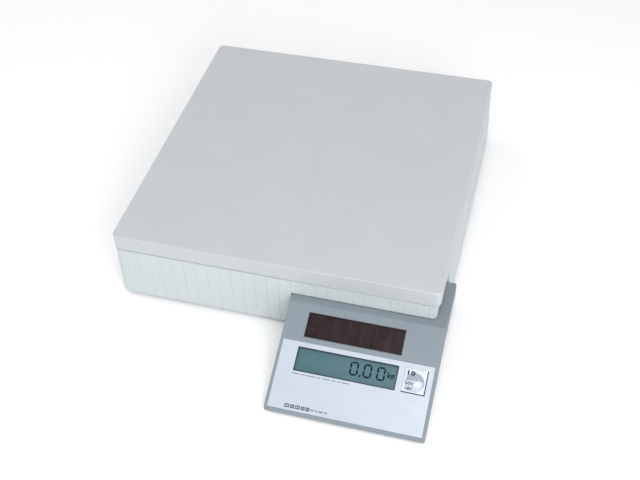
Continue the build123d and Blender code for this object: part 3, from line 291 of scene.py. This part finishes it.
def clear(name, tint, roughness):
    """A clear window with a hard coat: seen through, its low gloss broken by faint wiping marks."""
    skin = Finish(name)
    wipes = skin.noise(0.9 * MM, detail=4.0, stretch=(14.0, 1.0, 1.0))
    gloss = skin.spread(wipes, 0.35, 0.75, to_low=roughness, to_high=roughness + 0.07)
    normal = skin.bump(skin.noise(20 * MM), 0.02 * MM)
    outside = skin.maths("SUBTRACT", 1.0, skin.add("NewGeometry").outputs["Backfacing"])
    fresnel = skin.add("Fresnel", {"IOR": WINDOW_IOR, "Normal": normal}).outputs[0]
    reflection = skin.maths("MULTIPLY", fresnel, outside)
    dust = skin.mix(skin.spread(wipes, low=0.4, high=0.8), tint, shade(tint, 0.97))
    through = skin.add("BsdfTransparent", {"Color": dust})
    mirror = skin.add("BsdfGlossy", {"Color": WHITE, "Roughness": gloss, "Normal": normal})
    both = skin.add("MixShader", {0: reflection, 1: through.outputs[0], 2: mirror.outputs[0]})
    skin.add("OutputMaterial", {"Surface": both.outputs[0]})
    return skin.material


def silicon(name, colour):
    """Amorphous solar cell: dark red-brown, cloudy, with the faint weave of its laser lines."""
    skin = Finish(name)
    cloud = skin.noise(9 * MM, detail=4.0)
    weave = skin.noise(0.6 * MM, detail=1.0, stretch=(1.0, 30.0, 1.0))
    ground = skin.mix(skin.spread(cloud, *MIDDLE), shade(colour, 0.8), shade(colour, 1.25))
    woven = skin.tinged(ground, shade(colour, 1.5), weave, UPPER, most=0.35)
    gloss = skin.spread(cloud, *MIDDLE, to_low=0.14, to_high=0.24)
    return skin.principled(woven, gloss, skin.bump(cloud, 0.004 * MM), ior=COATED_IOR)


def liquid_crystal(name, colour):
    """A reflective display: grey-green, a little cloudy, with the brushed grain of its reflector."""
    skin = Finish(name)
    brushed = skin.noise(0.3 * MM, detail=2.0, stretch=(40.0, 1.0, 1.0))
    cloud = skin.noise(26 * MM, detail=2.0)
    ground = skin.mix(skin.spread(cloud, *MIDDLE), shade(colour, 0.94), shade(colour, 1.07))
    grained = skin.tinged(ground, shade(colour, 0.92), brushed, NARROW, most=0.3)
    gloss = skin.spread(cloud, *MIDDLE, to_low=0.3, to_high=0.42)
    return skin.principled(grained, gloss, skin.bump(brushed, 0.002 * MM), ior=POLYESTER_IOR)


def circuit(name, colour):
    """Solder mask over copper: paler tracks between darker gaps, glossy and slightly raised."""
    skin = Finish(name)
    tracks = skin.cells(3.2 * MM, feature="DISTANCE_TO_EDGE").outputs["Distance"]
    copper = skin.spread(tracks, low=0.1, high=0.14)
    ground = skin.mix(copper, shade(colour, 0.62), shade(colour, 1.25))
    mottled = skin.tinged(ground, shade(colour, 0.8), skin.noise(1.5 * MM), (0.3, 0.8), most=0.3)
    gloss = skin.spread(copper, 0.0, 1.0, to_low=0.42, to_high=0.28)
    return skin.principled(mottled, gloss, skin.bump(copper, 0.03 * MM))


TURNED = (1.0, 1.0, 0.25)
MILLED = (30.0, 1.0, 1.0)

FINISHES = {
    "white_plastic": moulded("white_plastic_look", OFF_WHITE, 0.42),
    # The platform's edges get the full painted highlight, for the bright line along its top front edge.
    "platform_plastic": moulded("platform_plastic_look", PLATFORM_WHITE, 0.44, rub_and_highlight=1.0),
    "grey_plastic": moulded("grey_plastic_look", BLUE_GREY, 0.46),
    "light_grey_plastic": moulded("light_grey_plastic_look", PALE_GREY, 0.46),
    "black_plastic": moulded("black_plastic_look", CHARCOAL, 0.5),
    "socket_plastic": moulded("socket_plastic_look", SOCKET_CREAM, 0.4, grain=0.3 * MM),
    "resin": moulded("resin_look", RESIN_BLACK, 0.55, grain=0.2 * MM, round_edge=0.12 * MM),
    "zinc_steel": rolled("zinc_steel_look", ZINC, 0.36),
    "screw_steel": machined("screw_steel_look", SCREW_ZINC, 0.3, TURNED),
    "cell_aluminium": machined("cell_aluminium_look", ALUMINIUM, 0.34, MILLED),
    "dome_steel": machined("dome_steel_look", BRIGHT_STEEL, 0.22, TURNED),
    "potting": rubbery("potting_look", SILICONE, 0.4, dust=0.04),
    "lead_sheath": rubbery("lead_sheath_look", LEAD_GREY, 0.5, dust=0.1),
    "rubber": rubbery("rubber_look", RUBBER_BLACK, 0.68),
    "elastomer": rubbery("elastomer_look", STRIP_BLACK, 0.6),
    "capacitor_sleeve": film("capacitor_sleeve_look", SLEEVE_BLUE, 0.3),
    "label_film": film("label_film_look", LABEL_PALE, 0.34),
    "clear_window": clear("clear_window_look", WINDOW_CLEAR, 0.04),
    "solar_silicon": silicon("solar_silicon_look", SILICON_BROWN),
    "lcd": liquid_crystal("lcd_look", LCD_GREEN),
    "board": circuit("board_look", BOARD_GREEN),
}

for part in NODES.values():
    packed_name = part.data.materials[0].name
    part.data.materials[0] = FINISHES[packed_name]
NODES["key_cap"].data.materials[0] = film("key_film_look", LABEL_PALE, 0.17, 0.002 * MM)

# ---- The console's sloping face ----

press_axis = next(Vector(joint["axis"]) for joint in frame["joints"] if joint["name"] == "key_press")
ACROSS = Vector((1.0, 0.0, 0.0))
OUT = -press_axis
UP = OUT.cross(ACROSS)


def on_slope(across, up, out):
    """A point given by its distances along the sloping face's three axes."""
    return ACROSS * across + UP * up + OUT * out


class SlopeBox:
    """A CAD node's edges on the sloping face: left, right, bottom and top, and the level of its surface.

    With above, only what stands higher than that level counts.
    """

    def __init__(self, node, above=None):
        points = [vertex.co for vertex in NODES[node].data.vertices]
        if above is not None:
            points = [point for point in points if point.dot(OUT) > above]
        across, up, out = ([point.dot(axis) for point in points] for axis in (ACROSS, UP, OUT))
        self.left, self.right = min(across), max(across)
        self.bottom, self.top = min(up), max(up)
        self.level = max(out)


# ---- Flat shapes for prints: each is (corner points, faces as lists of corner numbers) ----


def patch(points):
    """One filled outline."""
    return points, [list(range(len(points)))]


def ribbon(points, width, closed=False):
    """A stroke of even width along the points, mitred at its corners."""
    line = [Vector(point) for point in points]
    count = len(line)
    ways = [(after - before).normalized() for before, after in zip(line, line[1:] + line[:1])]
    edges = []
    for i, point in enumerate(line):
        before = ways[i - 1] if closed or i > 0 else ways[0]
        after = ways[i] if closed or i < count - 1 else ways[i - 1]
        mitre = Vector((-before.y, before.x)) + Vector((-after.y, after.x))
        mitre *= width / mitre.length_squared
        edges += [point + mitre, point - mitre]
    faces = []
    for i in range(count if closed else count - 1):
        j = (i + 1) % count
        faces.append([2 * i, 2 * i + 1, 2 * j + 1, 2 * j])
    return edges, faces


def rectangle(left, bottom, right, top):
    """The corners of an upright rectangle."""
    return [(left, bottom), (right, bottom), (right, top), (left, top)]


def arc(centre, radius, start, end, steps):
    """Points along an arc, from start to end in degrees, both included."""
    turns = [radians(start + (end - start) * i / steps) for i in range(steps + 1)]
    return [(centre[0] + radius * cos(turn), centre[1] + radius * sin(turn)) for turn in turns]


def circle(centre, radius, count):
    """Evenly spaced points round a whole circle."""
    return arc(centre, radius, 0.0, FULL_TURN * (count - 1) / count, count - 1)


def printed(name, shapes, level, thickness, place=on_slope):
    """A piece made of flat shapes, raised to its thickness from the level."""
    mesh = bmesh.new()
    for points, faces in shapes:
        corners = [mesh.verts.new(place(point[0], point[1], level)) for point in points]
        for face in faces:
            mesh.faces.new([corners[i] for i in face])
    outward = place(0.0, 0.0, thickness) - place(0.0, 0.0, 0.0)
    bmesh.ops.recalc_face_normals(mesh, faces=mesh.faces)
    raised = bmesh.ops.extrude_face_region(mesh, geom=list(mesh.faces))["geom"]
    top = [item for item in raised if isinstance(item, bmesh.types.BMVert)]
    bmesh.ops.translate(mesh, verts=top, vec=outward)
    bmesh.ops.recalc_face_normals(mesh, faces=mesh.faces)
    data = bpy.data.meshes.new(name)
    mesh.to_mesh(data)
    mesh.free()
    piece = bpy.data.objects.new(name, data)
    bpy.context.scene.collection.objects.link(piece)
    return piece


def finished(piece, material, body):
    """Gives a piece its material and the body it rides on."""
    piece.data.materials.append(material)
    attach(piece, body)


PRINT_T = 0.03 * MM
LCD_LOOK = ink("lcd_ink_look", LCD_INK, roughness=0.35, ior=COATED_IOR)
INK_LOOK = ink("ink_look", INK)
SOFT_INK_LOOK = ink("soft_ink_look", SOFT_INK)
PALE_INK_LOOK = ink("pale_ink_look", PALE_INK)

# ---- Solar cell: the six thin joints between its seven strips ----

STRIPS = 7
JOINT_W = 0.5 * MM


def solar_lines():
    cell = SlopeBox("solar_cell")
    window = SlopeBox("solar_window")
    pitch = (window.right - window.left) / STRIPS
    shapes = []
    for i in range(1, STRIPS):
        x = window.left + i * pitch
        shapes.append(ribbon([(x, cell.bottom), (x, cell.top)], JOINT_W))
    lines = printed("solar_lines", shapes, cell.level, PRINT_T)
    look = ink("solar_line_look", SILICON_LINE, roughness=0.3, ior=COATED_IOR)
    finished(lines, look, "console")


# ---- Display: three seven-segment zeros, the point, and the unit ----

DIGITS = 3
DIGIT_W = 6.3 * MM
DIGIT_H = 11.3 * MM
DIGIT_PITCH = 12.5 * MM
DIGITS_LEFT = 51.5 * MM
DIGITS_DROP = 4.4 * MM
SEGMENT_W = 1.65 * MM
SEGMENT_GAP = 0.2 * MM
POINT_SIZE = 1.2 * SEGMENT_W
UNIT_SIZE = 7.6 * MM
UNIT_AFTER = 2.5 * MM
UNIT_RAISE = 3.3 * MM
UNIT_BOLD = 0.17 * MM


def segment(start, end):
    """One bar of a digit: a thin hexagon with pointed ends."""
    start, end = Vector(start), Vector(end)
    way = (end - start).normalized()
    start, end = start + way * SEGMENT_GAP, end - way * SEGMENT_GAP
    shoulder = way * SEGMENT_W / 2
    aside = Vector((-way.y, way.x)) * SEGMENT_W / 2
    near, far = start + shoulder, end - shoulder
    return patch([start, near + aside, far + aside, end, far - aside, near - aside])


def zero(left, bottom):
    """The six bars of a zero."""
    right, middle, top = left + DIGIT_W, bottom + DIGIT_H / 2, bottom + DIGIT_H
    bars = [
        ((left, bottom), (right, bottom)),
        ((left, top), (right, top)),
        ((left, bottom), (left, middle)),
        ((left, middle), (left, top)),
        ((right, bottom), (right, middle)),
        ((right, middle), (right, top)),
    ]
    return [segment(start, end) for start, end in bars]


def square(centre, size):
    """A small filled square."""
    x, y, half = centre[0], centre[1], size / 2
    return patch(rectangle(x - half, y - half, x + half, y + half))


def lettered(name, text, size, left, bottom, level, bold=0.0, place=on_slope):
    """A piece of generic lettering in the built-in typeface, as a raised print."""
    curve = bpy.data.curves.new(name, "FONT")
    curve.body = text
    curve.size = size
    curve.offset = bold
    curve.extrude = PRINT_T / 2
    shape = bpy.data.objects.new(name + "_shape", curve)
    data = bpy.data.meshes.new_from_object(shape)
    bpy.data.objects.remove(shape)
    for vertex in data.vertices:
        x, y, z = vertex.co
        vertex.co = place(left + x, bottom + y, level + PRINT_T / 2 + z)
    data.name = name
    piece = bpy.data.objects.new(name, data)
    bpy.context.scene.collection.objects.link(piece)
    return piece


def lcd_reading():
    window = SlopeBox("lcd_window")
    level = SlopeBox("lcd_glass").level
    left = window.left + DIGITS_LEFT
    bottom = window.top - DIGITS_DROP - DIGIT_H
    shapes = []
    for i in range(DIGITS):
        shapes += zero(left + i * DIGIT_PITCH, bottom)
    point = (left + (DIGIT_W + DIGIT_PITCH) / 2, bottom)
    shapes.append(square(point, POINT_SIZE))
    digits = printed("lcd_digits", shapes, level, PRINT_T)
    finished(digits, LCD_LOOK, "console")
    unit_left = left + (DIGITS - 1) * DIGIT_PITCH + DIGIT_W + UNIT_AFTER
    unit = lettered("lcd_unit", "kg", UNIT_SIZE, unit_left, bottom + UNIT_RAISE, level, UNIT_BOLD)
    finished(unit, LCD_LOOK, "console")


# ---- Windows: a black gasket round the display and a black foil rim round the solar cell, dark rims that also paint the shade on the recess walls inside the openings ----

GASKET_W = 0.6 * MM
GASKET_SINK = 0.05 * MM
FOIL_W = 0.5 * MM
FOIL_T = 0.1 * MM


def rim_on(name, window, width, thickness):
    """A flat black frame of that width and thickness that lies on a window's edge: partly a real dark
    rim, partly painted shade of the recess walls.
    """
    inset = width / 2
    left, right = window.left + inset, window.right - inset
    bottom, top = window.bottom + inset, window.top - inset
    corners = rectangle(left, bottom, right, top)
    rim = printed(name, [ribbon(corners, width, closed=True)], window.level, thickness)
    finished(rim, FINISHES["black_plastic"], "console")


def window_rims_and_painted_shade():
    window = SlopeBox("lcd_window")
    face = SlopeBox("label_overlay").level
    # Both rims are black so that the openings show dark inner edges: painted shade of the recess walls,
    # besides the real rims.
    rim_on("lcd_gasket_and_painted_shade", window, GASKET_W, face - window.level - GASKET_SINK)
    rim_on("solar_foil_rim_and_painted_shade", SlopeBox("solar_window"), FOIL_W, FOIL_T)


# ---- Label: fine ruled ticks under the display, and a row of little parcels as a plain sign ----

TICK_RUNS = (7.0, 4.0, 9.0, 3.0, 8.0, 4.0, 3.0, 7.0)
TICK_H = 0.9 * MM
TICK_GAP = 1.2 * MM
TICKS_UNDER = 2.6 * MM
PARCEL_WIDTHS = (4.8, 3.4, 4.8, 3.4, 3.4)
PARCEL_H = 3.3 * MM
PARCEL_GAP = 0.9 * MM
PARCEL_LINE = 0.8 * MM
SIGN_IN = 15.5 * MM
SIGN_ABOVE = 2.3 * MM
SIGN_TICK_RUNS = (3.2, 2.0, 4.2, 2.6)
SIGN_TICK_H = 1.6 * MM


def ticks(x, y, runs, height):
    """A line of flat bars, as long as the runs say in millimetres, in the place of small print."""
    shapes = []
    for run in runs:
        shapes.append(ribbon([(x, y), (x + run * MM, y)], height))
        x += run * MM + TICK_GAP
    return shapes


def parcel(left, bottom, width):
    """The outline of a parcel with an upright band."""
    inset = PARCEL_LINE / 2
    low, high = bottom + inset, bottom + PARCEL_H - inset
    near, far, middle = left + inset, left + width - inset, left + width / 2
    outline = ribbon(rectangle(near, low, far, high), PARCEL_LINE, closed=True)
    return [outline, ribbon([(middle, low + inset), (middle, high - inset)], PARCEL_LINE)]


def label_prints():
    window = SlopeBox("lcd_window")
    label = SlopeBox("label_overlay")
    small = ticks(window.left, window.bottom - TICKS_UNDER, TICK_RUNS, TICK_H)
    x, bottom = label.left + SIGN_IN, label.bottom + SIGN_ABOVE
    shapes = []
    for width in PARCEL_WIDTHS:
        shapes += parcel(x, bottom, width * MM)
        x += width * MM + PARCEL_GAP
    sign_ticks = ticks(x, bottom + PARCEL_H / 2, SIGN_TICK_RUNS, SIGN_TICK_H)
    sign = printed("label_sign", shapes, label.level, PRINT_T)
    finished(sign, INK_LOOK, "console")
    fine = printed("label_ticks", small + sign_ticks, label.level, PRINT_T)
    finished(fine, PALE_INK_LOOK, "console")


# ---- Key: its dark corner line, the shaded arch of its dome, and generic signs ----

CORNER_LINE = 0.9 * MM
SHADE_LINES = 13
SHADE_PITCH = 1.15 * MM
SHADE_LINE_W = 0.6 * MM
SHADE_IN = 0.5 * MM
SHADE_LOW = 1.4 * MM
SHADE_ARC = (-25.0, 205.0)
SHORT_STEPS = 8
ARC_STEPS = 36
SWITCH_H = 4.3 * MM
SWITCH_UP = 8.0 * MM
SWITCH_BAR_X = -7.0 * MM
SWITCH_RING_X = -2.7 * MM
SWITCH_LINE = 1.45 * MM
SIGN_SIZE = 3.9 * MM
SIGN_BOLD = 0.15 * MM
SIGN_LEFT = -8.0 * MM
TARE_SIGN_UP = -3.1 * MM
ZERO_SIGN_UP = -7.5 * MM
KEY_SIGNS = (("key_tare_sign", ">T<", TARE_SIGN_UP), ("key_zero_sign", ">0<", ZERO_SIGN_UP))


class KeyDome:
    """The low dome of the key cap: its centre on the sloping face, and the ball that it is cut from."""

    def __init__(self, face):
        points = [vertex.co for vertex in NODES["key_cap"].data.vertices]
        standing = [point for point in points if point.dot(OUT) > face + HAIR]
        raised = [(point.dot(ACROSS), point.dot(UP), point.dot(OUT) - face) for point in standing]
        across, up, out = zip(*raised)
        self.x, self.y = (min(across) + max(across)) / 2, (min(up) + max(up)) / 2
        self.rise = max(out)
        low_x, low_y, low_out = min(raised, key=lambda point: point[2])
        fall, reach = self.rise - low_out, self.away(low_x, low_y)
        self.ball = (reach**2 + fall**2) / (2 * fall)
        self.radius = (self.rise * (2 * self.ball - self.rise)) ** 0.5

    def away(self, across, up):
        """The distance of a place on the sloping face from the dome's centre line."""
        return ((across - self.x) ** 2 + (up - self.y) ** 2) ** 0.5

    def place(self, across, up, out):
        """A point on the key: over the dome where it stands, and over the flat cap elsewhere."""
        distance = self.away(across, up)
        lift = 0.0
        if distance < self.radius:
            lift = (self.ball**2 - distance**2) ** 0.5 - (self.ball - self.rise)
        return on_slope(across, up, out + lift)


def stroke(start, end):
    """A straight stroke in short steps, so that it can follow the dome."""
    return [Vector(start).lerp(Vector(end), i / SHORT_STEPS) for i in range(SHORT_STEPS + 1)]


def shading(dome):
    """Fine upright lines over the dome's upper half, under an arch."""
    reach = dome.radius - SHADE_IN
    shapes = [ribbon(arc((dome.x, dome.y), reach, *SHADE_ARC, ARC_STEPS), SHADE_LINE_W)]
    for i in range(SHADE_LINES):
        aside = (i - (SHADE_LINES - 1) / 2) * SHADE_PITCH
        x, top = dome.x + aside, dome.y + (reach**2 - aside**2) ** 0.5 - SHADE_LINE_W
        shapes.append(ribbon(stroke((x, dome.y + SHADE_LOW), (x, top)), SHADE_LINE_W))
    return shapes


def switch_sign(dome):
    """The usual bar and ring of a switch."""
    bar_x, ring_x, middle = dome.x + SWITCH_BAR_X, dome.x + SWITCH_RING_X, dome.y + SWITCH_UP
    half = SWITCH_H / 2
    ring = circle((ring_x, middle), half - SWITCH_LINE / 2, ARC_STEPS)
    bar = ribbon(stroke((bar_x, middle - half), (bar_x, middle + half)), SWITCH_LINE)
    return [bar, ribbon(ring, SWITCH_LINE, closed=True)]


def key_prints():
    face = SlopeBox("label_overlay").level
    cap = SlopeBox("key_cap", above=face - HAIR)
    dome = KeyDome(face)
    inset = CORNER_LINE / 2
    right, low = cap.right - inset, cap.bottom + inset
    corner = ribbon([(right, cap.top), (right, low), (cap.left, low)], CORNER_LINE)
    finished(printed("key_corner_line", [corner], face, PRINT_T), INK_LOOK, "key")
    shade_lines = printed("key_shading", shading(dome), face, PRINT_T, dome.place)
    finished(shade_lines, PALE_INK_LOOK, "key")
    switch = printed("key_switch_sign", switch_sign(dome), face + PRINT_T, PRINT_T, dome.place)
    finished(switch, INK_LOOK, "key")
    for name, text, raised in KEY_SIGNS:
        left, bottom = dome.x + SIGN_LEFT, dome.y + raised
        sign = lettered(name, text, SIGN_SIZE, left, bottom, face, SIGN_BOLD, dome.place)
        finished(sign, INK_LOOK, "key")


# ---- Rating sticker: a silver one without words, in its recess under the base ----

RECESS_MOST = 1.0 * MM
STICKER_IN = 1.0 * MM
STICKER_T = 0.15 * MM
STICKER_BORDER_IN = 3.0 * MM
STICKER_LINE = 0.35 * MM
STICKER_RULES = 5
STICKER_RULE_SHARE = 0.55


def under_base(across, up, out):
    """A point under the base, where out is down."""
    return Vector((across, up, -out))


def rating_sticker():
    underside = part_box("base_housing")[0].z
    points = [vertex.co for vertex in NODES["base_housing"].data.vertices]
    recess = [point for point in points if HAIR < point.z - underside < RECESS_MOST]
    left, right = min(p.x for p in recess) + STICKER_IN, max(p.x for p in recess) - STICKER_IN
    bottom, top = min(p.y for p in recess) + STICKER_IN, max(p.y for p in recess) - STICKER_IN
    level = -max(point.z for point in recess)
    outline = patch(rectangle(left, bottom, right, top))
    sheet = printed("rating_sticker", [outline], level, STICKER_T, under_base)
    finished(sheet, film("sticker_look", STICKER_SILVER, 0.4), "base")
    near, far = left + STICKER_BORDER_IN, right - STICKER_BORDER_IN
    low, high = bottom + STICKER_BORDER_IN, top - STICKER_BORDER_IN
    shapes = [ribbon(rectangle(near, low, far, high), STICKER_LINE, closed=True)]
    for i in range(1, STICKER_RULES + 1):
        y = low + (high - low) * i / (STICKER_RULES + 1)
        end = near + (far - near) * STICKER_RULE_SHARE
        shapes.append(ribbon([(near + STICKER_BORDER_IN, y), (end, y)], STICKER_LINE))
    rules = printed("rating_sticker_rules", shapes, level + STICKER_T, PRINT_T, under_base)
    finished(rules, SOFT_INK_LOOK, "base")


solar_lines()
window_rims_and_painted_shade()
lcd_reading()
label_prints()
key_prints()
rating_sticker()

# ---- Floor, light and camera ----

FLOOR_R = 3.0
FLOOR_SIDES = 144
WORLD_STRENGTH = 0.68

# Each softbox's name, place, point that it looks at, side and power in watts
SOFTBOXES = (
    ("key_light", (0.75, -1.25, 1.05), (0.0, 0.0, 0.0), 1.0, 15.0),
    ("fill_light", (-1.4, 0.3, 1.5), (-0.3, 0.3, 0.0), 1.4, 4.6),
    ("top_light", (0.18, -0.52, 1.4), (0.1, -0.2, 0.0), 0.26, 3.2),
)


def floor():
    """A wide pale disc under the object."""
    rim = circle((0.0, 0.0), FLOOR_R, FLOOR_SIDES)
    mesh = bmesh.new()
    mesh.faces.new([mesh.verts.new((x, y, 0.0)) for x, y in rim])
    data = bpy.data.meshes.new("floor")
    mesh.to_mesh(data)
    mesh.free()
    ground = bpy.data.objects.new("floor", data)
    bpy.context.scene.collection.objects.link(ground)
    paper = Finish("floor_look")
    tone = paper.mix(paper.noise(0.4, detail=3.0), FLOOR_PALE, WHITE)
    ground.data.materials.append(paper.principled(tone, 0.8, paper.bump(paper.noise(2 * MM), 0.02 * MM)))


def softbox(name, place, target, size, power):
    """A square area light that looks at the target."""
    lamp = bpy.data.lights.new(name, "AREA")
    lamp.shape = "SQUARE"
    lamp.size = size
    lamp.energy = power
    holder = bpy.data.objects.new(name, lamp)
    holder.location = place
    holder.rotation_mode = "QUATERNION"
    holder.rotation_quaternion = (Vector(target) - Vector(place)).to_track_quat("-Z", "Y")
    bpy.context.scene.collection.objects.link(holder)


def studio():
    """An even white surrounding and three softboxes."""
    world = bpy.data.worlds.new("studio")
    world.use_nodes = True
    background = world.node_tree.nodes["Background"]
    background.inputs["Color"].default_value = WHITE
    background.inputs["Strength"].default_value = WORLD_STRENGTH
    bpy.context.scene.world = world
    for name, place, target, size, power in SOFTBOXES:
        softbox(name, place, target, size, power)
    bpy.context.scene.view_settings.view_transform = "Standard"


AZIMUTH = radians(17.198)
ELEVATION = radians(46.372)
ROLL = radians(-2.848)
LENS = 54.03
DISTANCE = 0.907
AIM_OFFSET = Vector((36.8 * MM, -119.6 * MM, 0.0))


def camera():
    """The camera at the photograph's viewing angle, aimed over the front edge of the platform."""
    low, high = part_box("platform_cover")
    aim = Vector(((low.x + high.x) / 2, (low.y + high.y) / 2, high.z)) + AIM_OFFSET
    level = cos(ELEVATION)
    back = Vector((sin(AZIMUTH) * level, -cos(AZIMUTH) * level, sin(ELEVATION)))
    lens = bpy.data.cameras.new("camera")
    lens.lens = LENS
    eye = bpy.data.objects.new("camera", lens)
    eye.location = aim + back * DISTANCE
    eye.rotation_mode = "QUATERNION"
    eye.rotation_quaternion = (-back).to_track_quat("-Z", "Y") @ Quaternion((0.0, 0.0, 1.0), ROLL)
    bpy.context.scene.collection.objects.link(eye)
    bpy.context.scene.camera = eye


floor()
studio()
camera()
